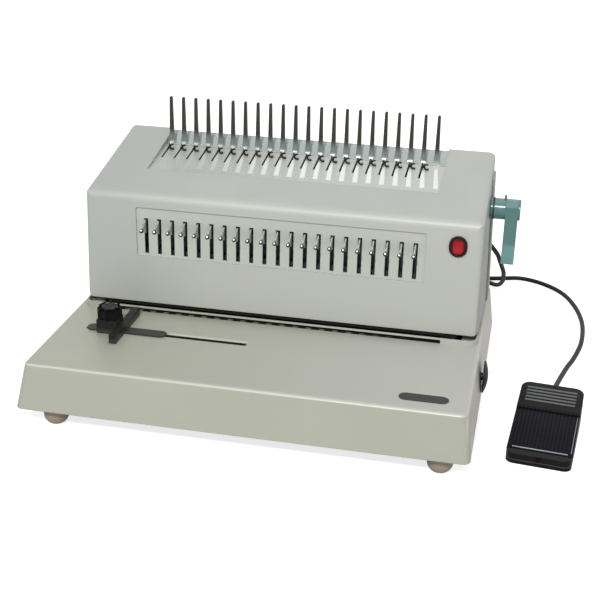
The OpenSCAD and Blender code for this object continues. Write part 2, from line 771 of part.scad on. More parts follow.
module finger_trough() {
    half = deck_w / 2 + deck_flange;
    floor_y = deck_rear + trough_floor;
    back = deck_rear + trough_rise;
    seat = head_d - wall;
    low = deck_rear_z - deck_t;
    color("#C9CBCB") {
        prism_x(-half, half)
            polygon([[deck_rear, deck_rear_z], [floor_y, deck_rear_z], [back, roof_under(back)],
                     [seat, roof_under(seat)], [seat, roof_under(seat) - deck_t],
                     [back, roof_under(back) - deck_t], [floor_y, low], [deck_rear, low]]);
        for (x0 = [-half, half - deck_flange]) prism_x(x0, x0 + deck_flange)
            polygon([[deck_rear, low], [deck_rear, roof_under(deck_rear)], [back, roof_under(back)],
                     [floor_y, low]]);
    }
}

module comb_fingers() {
    color("#4A4B47") for (i = [0:finger_count - 1])
        translate([finger_x(i), 0, deck_rear_z]) prism_y(finger_y - finger_t / 2, finger_y + finger_t / 2) {
            polygon([[-finger_foot_w / 2, 0], [finger_foot_w / 2, 0], [finger_w / 2, finger_foot_h],
                     [tip_w / 2, finger_h - tip_w / 2], [-tip_w / 2, finger_h - tip_w / 2],
                     [-finger_w / 2, finger_foot_h]]);
            translate([0, finger_h - tip_w / 2]) circle(tip_w / 2);
        }
}

module comb_handle() {
    hub_r = hub_d / 2;
    x0 = side_out(shaft_z - hub_r) + slip;
    x1 = half_head + hub_reach;
    arm_x1 = x1 - hub_end;
    color("#6E9C99") difference() {
        union() {
            rod_x(hub_r, x0, x1, shaft_y, shaft_z);
            translate([0, shaft_y, shaft_z]) prism_x(arm_x1 - arm_t, arm_x1)
                polygon([[-hub_r, hub_r / 2], [-hub_r * 0.65, hub_r], [hub_r * 0.18, hub_r],
                         [hub_r * 0.18, -hub_r * 0.7], [-arm_l * 0.05, -arm_l * 0.27],
                         [-arm_l * 0.067, -arm_l * 0.62], [-arm_l / 6, -arm_l], [-arm_l * 0.317, -arm_l * 0.96],
                         [-arm_l * 0.217, -arm_l * 0.6], [-hub_r, -arm_l / 5]]);
        }
        rod_x(shaft_r, x0 - 1, x1 - 5, shaft_y, shaft_z);
        translate([handle_pin_x, shaft_y, shaft_z]) cylinder(r = handle_pin_r, h = hub_d);
    }
}

module handle_pin() {
    color("#A9ABAE") translate([handle_pin_x, shaft_y, shaft_z])
        cylinder(r = handle_pin_r, h = hub_d / 2 + 4.5);
}

module comb_shaft() {
    color("#B7BABD") difference() {
        rod_x(shaft_r, -frame_out, half_head + hub_reach - 5, shaft_y, shaft_z);
        translate([handle_pin_x, shaft_y, shaft_z]) cylinder(r = handle_pin_r, h = hub_d);
    }
}

module shaft_pinions() {
    color("#8F9295") for (s = [-1, 1])
        at_shaft() prism_x(s > 0 ? plate_x[0] - 1 : -plate_x[1] - 1, s > 0 ? plate_x[1] + 1 : -plate_x[0] + 1)
            difference() {
                gear(comb_module, comb_teeth, -90 + 180 / comb_teeth);
                circle(shaft_r);
            }
}

module hook_carriage() {
    leg_back = leg_y - leg_w;
    rack_end = hook_travel + rack_lead;
    rack_root = -comb_r - dedendum * comb_module;
    color("#9A9DA0") at_shaft() {
        block([-carriage_half, hook_y - 5, carriage_low], [carriage_half, hook_y + 5, carriage_top]);
        for (s = [-1, 1]) prism_x(s > 0 ? plate_x[0] : -plate_x[1], s > 0 ? plate_x[1] : -plate_x[0]) {
            translate([leg_back, carriage_low]) square([hook_y + 5 - leg_back, carriage_top - carriage_low]);
            translate([leg_back, rack_low]) square([leg_w, carriage_top - rack_low]);
            translate([leg_back, rack_low]) square([rack_end - leg_back, rack_root - rack_low + 0.01]);
            translate([0, -comb_r]) rack(comb_module, leg_y + 6, rack_end - 3);
        }
    }
}

module comb_hooks() {
    color("#303234") at_shaft() for (i = [0:die_count - 1])
        prism_x(finger_x(i) - hook_t / 2, finger_x(i) + hook_t / 2) {
            translate([hook_y - hook_stem / 2, carriage_top])
                square([hook_stem, shaft_depth + 3 - carriage_top]);
            translate([hook_y + hook_stem / 4, shaft_depth + hook_ring_r + 1.2]) difference() {
                circle(hook_ring_r);
                circle(hook_eye_r);
                translate([0, -0.6]) square([hook_ring_r + 1, hook_eye_r + 0.6]);
            }
        }
}

// Punch

module die_plate() {
    color("#7D8083") difference() {
        union() {
            block([-frame_in, plate_front, die_bed_z], [frame_in, plate_rear, table_z]);
            for (s = [-1, 1])
                block([s > 0 ? throat_half : -frame_in, lip_y, die_bed_z],
                      [s > 0 ? frame_in : -throat_half, plate_rear, guide_z]);
        }
        for (i = [0:die_count - 1])
            block([die_x(i) - hole_w / 2 - slip / 2, hole_y - hole_d / 2 - slip / 2, die_bed_z - 1],
                  [die_x(i) + hole_w / 2 + slip / 2, hole_y + hole_d / 2 + slip / 2, table_z + 1]);
    }
}

module punch_guide() {
    color("#C6C8C6") difference() {
        union() {
            block([-frame_in, lip_y, guide_z], [frame_in, plate_rear, guide_z + guide_lip]);
            block([-frame_in, block_y, guide_z], [frame_in, plate_rear, guide_z + guide_h]);
        }
        for (i = [0:die_count - 1])
            block([die_x(i) - hole_w / 2 - slip / 2, hole_y - hole_d / 2 - slip / 2, guide_z - 1],
                  [die_x(i) + hole_w / 2 + slip / 2, hole_y + hole_d / 2 + slip / 2, guide_z + guide_h + 1]);
    }
}

module punch_pins() {
    color("#B2B5B8") for (i = [0:die_count - 1])
        block([die_x(i) - hole_w / 2, hole_y - hole_d / 2, pin_low],
              [die_x(i) + hole_w / 2, hole_y + hole_d / 2, ram_low + pin_seat]);
}

module ram_beam() {
    color("#6A6D70") difference() {
        union() {
            prism_x(-ram_half, ram_half)
                polygon([[ram_front, ram_low], [ram_back, ram_low], [ram_back, ram_high],
                         [comb_wall_y[1], ram_high], [comb_wall_y[1], blade_top + 1],
                         [comb_wall_y[0], blade_top + 1], [comb_wall_y[0], ram_high], [ram_front, ram_high]]);
            for (s = [-1, 1]) {
                translate([s * cam_x, 0, 0]) prism_x(-pad_w / 2, pad_w / 2)
                    polygon([[ram_back - 8, ram_low + 6], [ram_back - 8, ram_high], [ram_back + 8, ram_high],
                             [ram_back + 8, pad_top], [pad_rear, pad_top], [pad_rear, pad_top - pad_t],
                             [ram_back, pad_top - pad_t], [ram_back, ram_low + 6]]);
                block([s > 0 ? ram_half - 1 : -frame_out + 1, tongue_y[0], ram_low + 2],
                      [s > 0 ? frame_out - 1 : -ram_half + 1, tongue_y[1], ram_high - 2]);
            }
        }
        for (i = [0:die_count - 1]) {
            block([die_x(i) - hole_w / 2, hole_y - hole_d / 2, ram_low - 1],
                  [die_x(i) + hole_w / 2, hole_y + hole_d / 2, ram_low + pin_seat]);
            block([die_x(i) - blade_t / 2 - slip, comb_wall_y[0] - 1, blade_low - slip],
                  [die_x(i) + blade_t / 2 + slip, comb_wall_y[1] + 1, blade_top + 2]);
        }
    }
}

module die_selector(i) {
    tip = -ball_reach + ball_d / 4;
    color("#C9CBCC") translate([die_x(i), 0, 0]) {
        prism_x(-blade_t / 2, blade_t / 2)
            polygon([[comb_wall_y[1] + 4, blade_low], [comb_wall_y[1] + 4, blade_top], [-1, blade_top],
                     [-4, blade_top - 2.5], [tip, ball_z + 1], [tip, ball_z - 1], [-2, blade_low]]);
        translate([0, -ball_reach, ball_z]) sphere(d = ball_d);
    }
}

function cam_point(t) = cam_base_r * [cos(t) + t * PI / 180 * sin(t), sin(t) - t * PI / 180 * cos(t)];

module cam_shaft() {
    color("#B7BABD") rod_x(cam_r, -frame_out, frame_out, cam_y, cam_z);
}

module press_cams() {
    color("#85888B") for (s = [-1, 1])
        translate([s * cam_x, cam_y, cam_z]) prism_x(-cam_t / 2, cam_t / 2) difference() {
            union() {
                rotate(-cam_start)
                    polygon(concat([[0, 0]], [for (k = [-2:32]) cam_point(cam_start + k * cam_sweep / 30)]));
                circle(cam_low - 1);
            }
            circle(cam_r);
        }
}

module cam_gear() {
    color("#9C8F6A") translate([0, cam_y, cam_z]) prism_x(gear_x[0], gear_x[1]) difference() {
        gear(drive_module, drive_teeth, drive_angle);
        circle(cam_r);
    }
}

module motor_pinion() {
    color("#A5A8AB") translate([0, motor_y, motor_z]) {
        prism_x(gear_x[0], gear_x[1]) gear(drive_module, motor_teeth, 180 + drive_angle + 180 / motor_teeth);
        rod_x(motor_shaft_r, motor_x[2] - 20, gear_x[1], 0, 0);
    }
}

module drive_motor() {
    foot_y = motor_d / 2 - 4;
    color("#50555A") difference() {
        union() {
            rod_x(motor_d / 2, motor_x[0], motor_x[1] + 1, motor_y, motor_z);
            rod_x(motor_d / 2 - 8, motor_x[0] - 6, motor_x[0] + 1, motor_y, motor_z);
            block([motor_x[1], motor_y - foot_y, pan_z], [motor_x[2], motor_y + foot_y, motor_z + foot_y]);
        }
        rod_x(motor_shaft_r + run, motor_x[2] - 21, motor_x[2] + 1, motor_y, motor_z);
    }
}

module bearing_bushes() {
    color("#B08D4F") for (s = [-1, 1], b = [[shaft_r, shaft_y, shaft_z], [cam_r, cam_y, cam_z]])
        translate([s > 0 ? frame_in : -frame_out, b[1], b[2]]) rotate([0, 90, 0]) difference() {
            cylinder(r = b[0] + bush_wall, h = frame_t);
            translate([0, 0, -1]) cylinder(r = b[0] + run, h = frame_t + 2);
        }
}

// Switch, inlet and screws

// The bezel's upright oval, grown by more
module switch_outline(more) {
    r = bezel_w / 2 + more;
    straight = bezel_h - bezel_w;
    translate([-r, -straight / 2]) square([2 * r, straight]);
    for (s = [-1, 1]) translate([0, s * straight / 2]) circle(r);
}

module switch_bezel() {
    color("#1C1C1D") translate([switch_x, 0, table_z + switch_up]) difference() {
        union() {
            prism_y(-2, 0) switch_outline(0);
            prism_y(-2, bezel_d) switch_outline(-bezel_lip);
        }
        prism_y(-3, bezel_d - 4) switch_outline(-rocker_room);
        rod_x(pivot_r + run, -pivot_half - slip, pivot_half + slip, rocker_y, 0);
    }
}

module power_rocker() {
    color("#A3161C") translate([switch_x, rocker_y, table_z + switch_up]) {
        rotate([-rocker_tilt, 0, 0]) intersection() {
            prism_y(-rocker_r, rocker_r) switch_outline(-rocker_in);
            prism_x(-bezel_w / 2, bezel_w / 2)
                polygon([[-6.6, -rocker_r], [-5, 0], [-6.6, rocker_r], [5, rocker_r], [5, -rocker_r]]);
        }
        rod_x(pivot_r, -pivot_half, pivot_half, 0, 0);
    }
}

module power_inlet() {
    color("#1E1F20") translate([inlet_x, head_d, inlet_z]) {
        difference() {
            union() {
                block([-inlet_w / 2, -inlet_d, -inlet_h / 2], [inlet_w / 2, inlet_wall, inlet_h / 2]);
                prism_y(0, inlet_wall) rounded(inlet_w + 16, inlet_h + 4, 4);
            }
            block([inlet_wall - inlet_w / 2, 3 - inlet_d, inlet_wall - inlet_h / 2],
                  [inlet_w / 2 - inlet_wall, inlet_wall + 1, inlet_h / 2 - inlet_wall]);
        }
        for (p = [[-7, -1.5], [0, 2.5], [7, -1.5]])
            translate([p[0], 2 - inlet_d, p[1]]) block([-1, 0, -2], [1, blade_l, 2]);
    }
}

module cover_screws() {
    color("#A8AAAC") {
        for (p = screw_spots) translate([p[0], head_d, p[1]]) {
            rod_y(screw_r, -screw_l, 0, 0, 0);
            rod_y(screw_head_r, 0, screw_head_t, 0, 0);
        }
        at_pedal() rod_y(2.6, -pedal_l / 2 - 1.2, -pedal_l / 2, 0, pedal_front_h - 5);
    }
}

// Side guide, margin stop and chip tray

module side_guide() {
    slider_r = slider_w / 2;
    low = table_z + slip;
    color("#2A2B2C") difference() {
        union() {
            translate([slider_x, -guide_y, low]) linear_extrude(slider_t) {
                translate([slider_r, -slider_r]) square([slider_l - slider_w, slider_w]);
                for (x = [slider_r, slider_l - slider_r]) translate([x, 0]) circle(slider_r);
            }
            block([guide_x - block_w / 2, -guide_y - 11, low],
                  [guide_x + block_w / 2, -guide_y + 9, table_z + guide_block_h]);
            block([guide_x + block_w / 2 - 1, bar_front, low],
                  [guide_x + block_w / 2 - 1 + bar_w, bar_front + bar_l, low + bar_h]);
            block([guide_x - key_l / 2, -guide_y - key_t / 2, table_z - wall - nut_t],
                  [guide_x + key_l / 2, -guide_y + key_t / 2, low + 1]);
            block([guide_x - key_l / 2 - 3, -guide_y - 5, table_z - wall - slip - nut_t],
                  [guide_x + key_l / 2 + 3, -guide_y + 5, table_z - wall - slip]);
        }
        translate([guide_x, -guide_y, low + 3]) cylinder(r = knob_screw_r + run, h = guide_block_h);
    }
}

module guide_knob() {
    color("#232425") translate([guide_x, -guide_y, table_z + guide_block_h + slip]) {
        linear_extrude(knob_h) difference() {
            circle(knob_d / 2);
            for (k = [0:15]) rotate(k * 22.5) translate([knob_d / 2 + 0.6, 0]) circle(1.5, $fn = 24);
        }
        translate([0, 0, slip - guide_block_h + 4]) cylinder(r = knob_screw_r, h = guide_block_h);
    }
}

module margin_knob() {
    knob_x = base_right + slip;
    r = margin_knob_d / 2;
    rise = margin_knob_t - margin_rim;
    dome_r = (r ^ 2 + rise ^ 2) / (2 * rise);
    color("#1F2021") translate([0, -margin_y, margin_z]) {
        translate([knob_x, 0, 0]) rotate([0, 90, 0]) rotate_extrude()
            polygon(concat([[0, 0], [r, 0]], arc([0, margin_knob_t - dome_r], dome_r, acos(r / dome_r), 90)));
        rod_x(margin_stem_r, rack_x[0], knob_x + 1, 0, 0);
        prism_x(rack_x[0], rack_x[1]) gear(margin_module, margin_teeth, 90 + 180 / margin_teeth);
    }
}

module margin_stop() {
    low = table_z + slip;
    high = guide_z - slip;
    rack_z = margin_z + margin_r;
    rack_root = rack_z + dedendum * margin_module;
    color("#8C8F92") {
        block([-stop_half, plate_rear - 6, low], [stop_half, stop_rear, high]);
        block([stop_half - 20, stop_rear - stop_leg, low], [rack_x[1], stop_rear, high]);
        block([rack_x[0], stop_rear - stop_leg, rack_root], [rack_x[1], stop_rear, high]);
        block([rack_x[0], -margin_y - 12, rack_root], [rack_x[1], stop_rear, rack_root + 4]);
        translate([0, -margin_y, rack_z]) prism_x(rack_x[0], rack_x[1])
            mirror([0, 1]) rack(margin_module, -11, 11);
    }
}

module chip_tray() {
    color("#3A3C3E") difference() {
        union() {
            block([tray_x[0], tray_y[0], tray_z], [tray_x[1], tray_y[1], tray_z + tray_h]);
            block([tray_x[0] - 3, tray_y[0] + 8, tray_z + tray_h - 8],
                  [tray_x[0] + 1, tray_y[1] - 8, tray_z + tray_h - 5]);
        }
        block([tray_x[0] + tray_wall, tray_y[0] + tray_wall, tray_z + tray_wall],
              [tray_x[1] - tray_wall, tray_y[1] - tray_wall, tray_z + tray_h + 1]);
    }
}

// Pedal and its cord

module pedal_form(low, high) {
    translate([0, 0, low]) linear_extrude(high - low) rounded(pedal_w, pedal_l, pedal_corner_r);
}

module pedal_base() {
    half = pedal_w / 2;
    rim = function (y) pedal_top(y) - treadle_t - slip - pedal_play * (hinge_y - y) / (hinge_y - treadle_front);
    color("#232425") at_pedal() {
        difference() {
            intersection() {
                pedal_form(0, pedal_rear_h);
                prism_x(-half, half)
                    polygon([[-pedal_l / 2, 0], [-pedal_l / 2, pedal_front_h - 1.5],
                             [treadle_front - 0.5, pedal_front_h - 0.5],
                             [treadle_front - 0.5, rim(treadle_front)], [hinge_y, rim(hinge_y)],
                             [pedal_l / 2, rim(hinge_y)], [pedal_l / 2, 0]]);
            }
            block([-half + pedal_wall, treadle_front + 2, 2],
                  [half - pedal_wall, pedal_l / 2 - pedal_wall, pedal_rear_h]);
            rod_x(hinge_r + run, -half + 0.5, half - 0.5, hinge_y, hinge_z);
        }
        rod_y(4, pedal_l / 2 - 1, pedal_l / 2 + boot_l, 0, boot_z);
    }
}

module pedal_treadle() {
    half = pedal_w / 2;
    lug_in = half - pedal_wall - 4;
    lug_out = half - pedal_wall - slip;
    step_y = pedal_l / 2 - 42;
    color("#1B1C1D") at_pedal() {
        difference() {
            intersection() {
                pedal_form(0, pedal_rear_h + 1);
                prism_x(-half, half)
                    polygon([[treadle_front, pedal_top(treadle_front)], [step_y - 1.5, pedal_top(step_y) - 0.8],
                             [step_y, pedal_top(step_y) + 0.5],
                             [pedal_l / 2 - 2, pedal_rear_h], [pedal_l / 2, pedal_rear_h - 2],
                             [pedal_l / 2, pedal_top(hinge_y) - treadle_t],
                             [hinge_y, pedal_top(hinge_y) - treadle_t],
                             [treadle_front, pedal_top(treadle_front) - treadle_t]]);
            }
            for (k = [0:4]) translate([0, pedal_l / 2 - 9 - 5 * k, pedal_top(pedal_l / 2 - 9 - 5 * k)])
                block([-half + 7, -0.9, -1.2], [half - 7, 0.9, 3]);
        }
        for (s = [-1, 1]) {
            prism_x(s > 0 ? lug_in : -lug_out, s > 0 ? lug_out : -lug_in) {
                translate([hinge_y, hinge_z]) circle(5);
                translate([hinge_y - 5, hinge_z]) square([10, pedal_top(hinge_y) - treadle_t - hinge_z + 1]);
            }
            rod_x(hinge_r, s > 0 ? lug_in : -half + 0.8, s > 0 ? half - 0.8 : -lug_in, hinge_y, hinge_z);
        }
    }
}

module cord_gland() {
    color("#202122") translate([gland_x, head_d, gland_z]) rotate([-90, 0, 0]) {
        translate([0, 0, -wall]) cylinder(r = cord_d + 1, h = wall);
        cylinder(r = cord_d + 3, h = 3);
        translate([0, 0, 3]) cylinder(r1 = cord_d, r2 = cord_d / 2 + 1, h = gland_l - 3);
    }
}

// Points along a smooth curve through the route, about one cord step apart
function spline(a, b, c, d, t) =
    0.5 * (2 * b + (c - a) * t + (2 * a - 5 * b + 4 * c - d) * t ^ 2 + (3 * b - a - 3 * c + d) * t ^ 3);
function unit(v) = v / norm(v);

module pedal_cord() {
    last = len(cord_route) - 1;
    path = concat(
        [for (k = [0:last - 1])
            let (a = cord_route[max(k - 1, 0)], b = cord_route[k], c = cord_route[k + 1])
            let (d = cord_route[min(k + 2, last)], parts = max(1, round(norm(c - b) / cord_step)))
            for (j = [0:parts - 1]) spline(a, b, c, d, j / parts)],
        [cord_route[last]]);
    rings = len(path);
    points = [for (k = [0:rings - 1])
        let (along = unit(path[min(k + 1, rings - 1)] - path[max(k - 1, 0)]))
        let (across = unit(cross(along, [0, 0, 1])), up = cross(across, along))
        for (j = [0:cord_sides - 1])
            let (a = 360 * j / cord_sides)
            path[k] + cord_d / 2 * (cos(a) * across + sin(a) * up)];
    sides = [for (k = [0:rings - 2], j = [0:cord_sides - 1])
        let (p = k * cord_sides + j, q = k * cord_sides + (j + 1) % cord_sides)
        each [[p, q, p + cord_sides], [q, q + cord_sides, p + cord_sides]]];
    ends = [[for (j = [0:cord_sides - 1]) cord_sides - 1 - j],
            [for (j = [0:cord_sides - 1]) (rings - 1) * cord_sides + j]];
    color("#2B2B2B") polyhedron(points, concat(sides, ends));
}

// Everything is moved together so that the machine and its pedal are centred on the origin
module placed() {
    translate(-centre) children();
}

placed() base_cover();
placed() bottom_pan();
placed() rubber_feet();
placed() side_frames();
placed() head_cover();
placed() front_panel();
placed() rear_panel();
placed() comb_deck();
placed() finger_trough();
placed() comb_fingers();
placed() die_plate();
placed() punch_guide();
placed() bearing_bushes();
placed() drive_motor();
placed() switch_bezel();
placed() power_inlet();
placed() cover_screws();
placed() cord_gland();
placed() pedal_cord();
placed() pedal_base();
placed() comb_handle();
placed() handle_pin();
placed() comb_shaft();
placed() shaft_pinions();
placed() hook_carriage();
placed() comb_hooks();
placed() cam_shaft();
placed() press_cams();
placed() cam_gear();
placed() motor_pinion();
placed() ram_beam();
placed() punch_pins();
placed() power_rocker();
placed() side_guide();
placed() guide_knob();
placed() margin_knob();
placed() margin_stop();
placed() chip_tray();
placed() pedal_treadle();
for (i = [0:die_count - 1])
    placed() die_selector(i);
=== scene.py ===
"""An electric comb binding machine with its foot pedal, dressed on its CAD frame."""
import math

import bmesh
import bpy
from mathutils import Matrix, Vector


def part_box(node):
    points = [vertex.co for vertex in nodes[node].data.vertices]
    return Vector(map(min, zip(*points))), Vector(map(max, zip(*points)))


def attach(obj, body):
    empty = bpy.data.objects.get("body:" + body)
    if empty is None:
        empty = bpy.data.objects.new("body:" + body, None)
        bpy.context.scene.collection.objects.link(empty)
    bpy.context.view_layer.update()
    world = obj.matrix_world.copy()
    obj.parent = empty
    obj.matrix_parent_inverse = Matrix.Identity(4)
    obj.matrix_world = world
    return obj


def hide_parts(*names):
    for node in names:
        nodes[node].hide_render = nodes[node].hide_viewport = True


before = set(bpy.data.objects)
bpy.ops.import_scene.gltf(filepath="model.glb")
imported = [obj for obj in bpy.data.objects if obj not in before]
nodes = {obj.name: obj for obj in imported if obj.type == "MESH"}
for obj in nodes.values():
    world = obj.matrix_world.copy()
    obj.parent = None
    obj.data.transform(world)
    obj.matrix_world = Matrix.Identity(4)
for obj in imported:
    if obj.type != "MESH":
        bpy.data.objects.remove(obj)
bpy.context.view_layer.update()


# The camera
# A long lens looks down on the machine from its front right corner. Places on the machine are in
# millimetres from the middle of the head, its front face and the desk.
head_low, head_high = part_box("head_cover")
machine = Matrix.Translation(((head_low.x + head_high.x) / 2, head_low.y, 0)) @ Matrix.Scale(0.001, 4)


def at(x, y, z):
    """A place on the machine, in the frame's metres."""
    return machine @ Vector((x, y, z))


yaw = math.radians(11.634)
pitch = math.radians(23.543)
roll = math.radians(1.213)
look = Vector((-math.sin(yaw) * math.cos(pitch), math.cos(yaw) * math.cos(pitch), -math.sin(pitch)))
level = Vector((math.cos(yaw), math.sin(yaw), 0))
rise = level.cross(look)
side = math.cos(roll) * level + math.sin(roll) * rise
upward = math.cos(roll) * rise - math.sin(roll) * level
lens = bpy.data.cameras.new("lens")
lens.sensor_width = 36
lens.lens = 70.69
lens.clip_start = 0.05
camera = bpy.data.objects.new("camera", lens)
camera.matrix_world = Matrix.Translation(at(254.011, -1112.302, 592.137)) @ Matrix(
    (side, upward, -look)).transposed().to_4x4()
bpy.context.collection.objects.link(camera)
bpy.context.scene.camera = camera


# The studio
# A white paper sweep under the machine, with one lamp high in front that draws the fingers'
# shadows, softer ones at its right and over it, and plain white light from all round.
def lamp(name, place, size, watts):
    """A square soft box that faces the machine."""
    light = bpy.data.lights.new(name, "AREA")
    light.size = size
    light.energy = watts
    box = bpy.data.objects.new(name, light)
    box.location = place
    box.rotation_euler = (Vector((0, 0, 0.1)) - box.location).to_track_quat("-Z", "Y").to_euler()
    bpy.context.collection.objects.link(box)


lamp("key_box", (-0.2, -4.7, 4.1), 0.45, 182)
lamp("fill_box", (3.2, -2.6, 1.9), 2, 8)
lamp("top_box", (0.3, 0.5, 2.6), 1.8, 10)
room = bpy.data.worlds.new("room")
room.use_nodes = True
bpy.context.scene.world = room
air = room.node_tree
dim = air.nodes["Background"]
dim.inputs["Color"].default_value = (0.97, 0.985, 1, 1)
dim.inputs["Strength"].default_value = 0.42
white = air.nodes.new("ShaderNodeBackground")
white.inputs["Color"].default_value = (1, 1, 1, 1)
rays = air.nodes.new("ShaderNodeLightPath")
shown = rays.outputs["Is Camera Ray"]
for ray in ("Is Transmission Ray", "Is Glossy Ray"):
    either = air.nodes.new("ShaderNodeMath")
    either.operation = "MAXIMUM"
    air.links.new(shown, either.inputs[0])
    air.links.new(rays.outputs[ray], either.inputs[1])
    shown = either.outputs[0]
choose = air.nodes.new("ShaderNodeMixShader")
air.links.new(shown, choose.inputs[0])
air.links.new(dim.outputs[0], choose.inputs[1])
air.links.new(white.outputs[0], choose.inputs[2])
air.links.new(choose.outputs[0], air.nodes["World Output"].inputs[0])

sweep = bmesh.new()
bmesh.ops.create_grid(sweep, x_segments=1, y_segments=1, size=6)
floor_mesh = bpy.data.meshes.new("floor")
sweep.to_mesh(floor_mesh)
sweep.free()
floor = bpy.data.objects.new("floor", floor_mesh)
bpy.context.collection.objects.link(floor)
paper = bpy.data.materials.new("sweep_paper")
paper.use_nodes = True
sheet = paper.node_tree
matt = sheet.nodes["Principled BSDF"]
matt.inputs["Base Color"].default_value = (0.8, 0.8, 0.8, 1)
matt.inputs["Roughness"].default_value = 1
matt.inputs["Specular IOR Level"].default_value = 0
glow = sheet.nodes.new("ShaderNodeEmission")
floor_rays = sheet.nodes.new("ShaderNodeLightPath")
share = sheet.nodes.new("ShaderNodeMath")
share.operation = "MULTIPLY"
share.inputs[1].default_value = 0.74
sheet.links.new(floor_rays.outputs["Is Camera Ray"], share.inputs[0])
sheet.links.new(share.outputs[0], glow.inputs["Strength"])
lit = sheet.nodes.new("ShaderNodeAddShader")
sheet.links.new(matt.outputs[0], lit.inputs[0])
sheet.links.new(glow.outputs[0], lit.inputs[1])
sheet.links.new(lit.outputs[0], sheet.nodes["Material Output"].inputs[0])
floor_mesh.materials.append(paper)
bpy.context.scene.view_settings.view_transform = "Standard"


# The pedal cord
# A round two-core rubber flex, 5.4 mm thick, that drops from the back of the machine, lies in one
# loose loop behind it and runs forward over the floor into the pedal. Its front end is greyer.
def tone(red, green, blue):
    """A colour as a painter's chart gives it, 0 to 255, in linear light."""
    chart = [value / 255 for value in (red, green, blue)]
    return [v / 12.92 if v < 0.04045 else ((v + 0.055) / 1.055) ** 2.4 for v in chart] + [1.0]


def surface(name, colour, rough, metal=0.0, drift=0.05, grain=1500.0, bump=0.05, edge=0.0, shine=0.5):
    """A finish whose colour drifts a little, with a fine grain in its gloss and relief."""
    finish = bpy.data.materials.new(name)
    finish.use_nodes = True
    tree = finish.node_tree
    shader = tree.nodes["Principled BSDF"]
    shader.inputs["Metallic"].default_value = metal
    shader.inputs["Specular IOR Level"].default_value = shine
    place = tree.nodes.new("ShaderNodeTexCoord")
    split = tree.nodes.new("ShaderNodeSeparateXYZ")
    split.name = "axes"
    tree.links.new(place.outputs["Object"], split.inputs[0])
    cloud = tree.nodes.new("ShaderNodeTexNoise")
    cloud.inputs["Scale"].default_value = 22
    cloud.inputs["Detail"].default_value = 4
    tree.links.new(place.outputs["Object"], cloud.inputs["Vector"])
    shade = tree.nodes.new("ShaderNodeValToRGB")
    shade.color_ramp.elements[0].position = 0.3
    shade.color_ramp.elements[1].position = 0.7
    shade.color_ramp.elements[0].color = [v * (1 - drift) for v in colour[:3]] + [1]
    shade.color_ramp.elements[1].color = [min(1, v * (1 + drift)) for v in colour[:3]] + [1]
    tree.links.new(cloud.outputs["Fac"], shade.inputs["Fac"])
    tree.links.new(shade.outputs["Color"], shader.inputs["Base Color"])
    speck = tree.nodes.new("ShaderNodeTexNoise")
    speck.inputs["Scale"].default_value = grain
    speck.inputs["Detail"].default_value = 2
    tree.links.new(place.outputs["Object"], speck.inputs["Vector"])
    gloss = tree.nodes.new("ShaderNodeMapRange")
    gloss.inputs["To Min"].default_value = max(0.02, rough - 0.07)
    gloss.inputs["To Max"].default_value = min(1.0, rough + 0.07)
    tree.links.new(speck.outputs["Fac"], gloss.inputs["Value"])
    tree.links.new(gloss.outputs["Result"], shader.inputs["Roughness"])
    relief = tree.nodes.new("ShaderNodeBump")
    relief.inputs["Strength"].default_value = bump
    relief.inputs["Distance"].default_value = 0.0003
    tree.links.new(speck.outputs["Fac"], relief.inputs["Height"])
    tree.links.new(relief.outputs["Normal"], shader.inputs["Normal"])
    if edge:
        worn = tree.nodes.new("ShaderNodeBevel")
        worn.samples = 4
        worn.inputs["Radius"].default_value = edge
        tree.links.new(worn.outputs["Normal"], relief.inputs["Normal"])
    return finish


def axes(finish):
    """The x, y and z of a point on the piece, in the frame's metres, inside a finish."""
    return finish.node_tree.nodes["axes"].outputs


def fade(finish, value, start, end):
    """A mask that goes smoothly from 0 to 1 as a value goes from start to end."""
    tree = finish.node_tree
    slope = tree.nodes.new("ShaderNodeMapRange")
    slope.interpolation_type = "SMOOTHSTEP"
    slope.inputs["From Min"].default_value = start
    slope.inputs["From Max"].default_value = end
    tree.links.new(value, slope.inputs["Value"])
    return slope.outputs["Result"]


def ramp(finish, axis, start, end):
    """A mask that goes from 0 to 1 between two places along an axis of the machine."""
    zero = machine.translation["XYZ".index(axis)]
    return fade(finish, axes(finish)[axis], zero + start / 1000, zero + end / 1000)


def tint(finish, colour, *masks):
    """Lays another colour over a finish where all the masks are 1."""
    tree = finish.node_tree
    cover = masks[0]
    for mask in masks[1:]:
        both = tree.nodes.new("ShaderNodeMath")
        both.operation = "MULTIPLY"
        tree.links.new(cover, both.inputs[0])
        tree.links.new(mask, both.inputs[1])
        cover = both.outputs[0]
    coat = tree.nodes["Principled BSDF"].inputs["Base Color"]
    mix = tree.nodes.new("ShaderNodeMix")
    mix.data_type = "RGBA"
    tree.links.new(coat.links[0].from_socket, mix.inputs[6])
    mix.inputs[7].default_value = colour
    tree.links.new(cover, mix.inputs[0])
    tree.links.new(mix.outputs[2], coat)


cord_r = 2.7
cord_hang = [
    (195, 173, 118), (195.5, 183, 117.5), (199, 192, 114.5), (206, 200, 108), (218, 217, 88),
    (222, 229, 74.5), (227, 252, 52), (227.5, 266, 40.5), (226.5, 288, 24), (220, 316, 7)]
cord_floor = [
    (208, 332), (192, 335), (170, 331), (147, 324), (124, 322), (105, 331), (100, 347), (112, 360),
    (133, 362), (156, 355), (180, 347), (205, 345.5), (230, 352.5), (245, 356.5), (261, 353.5),
    (277, 345), (294, 330), (307, 310.5), (317, 284), (323.5, 257), (327, 230), (327.5, 202),
    (325.5, 172), (321, 146), (315.5, 123), (309, 101), (299, 58)]
cord_rise = [(297, 38, 3.5), (295.8, 18, 8.5), (294.4, -1, 12)]
cord_route = cord_hang + [(x, y, cord_r) for x, y in cord_floor] + cord_rise
flex = bpy.data.curves.new("pedal_flex", "CURVE")
flex.dimensions = "3D"
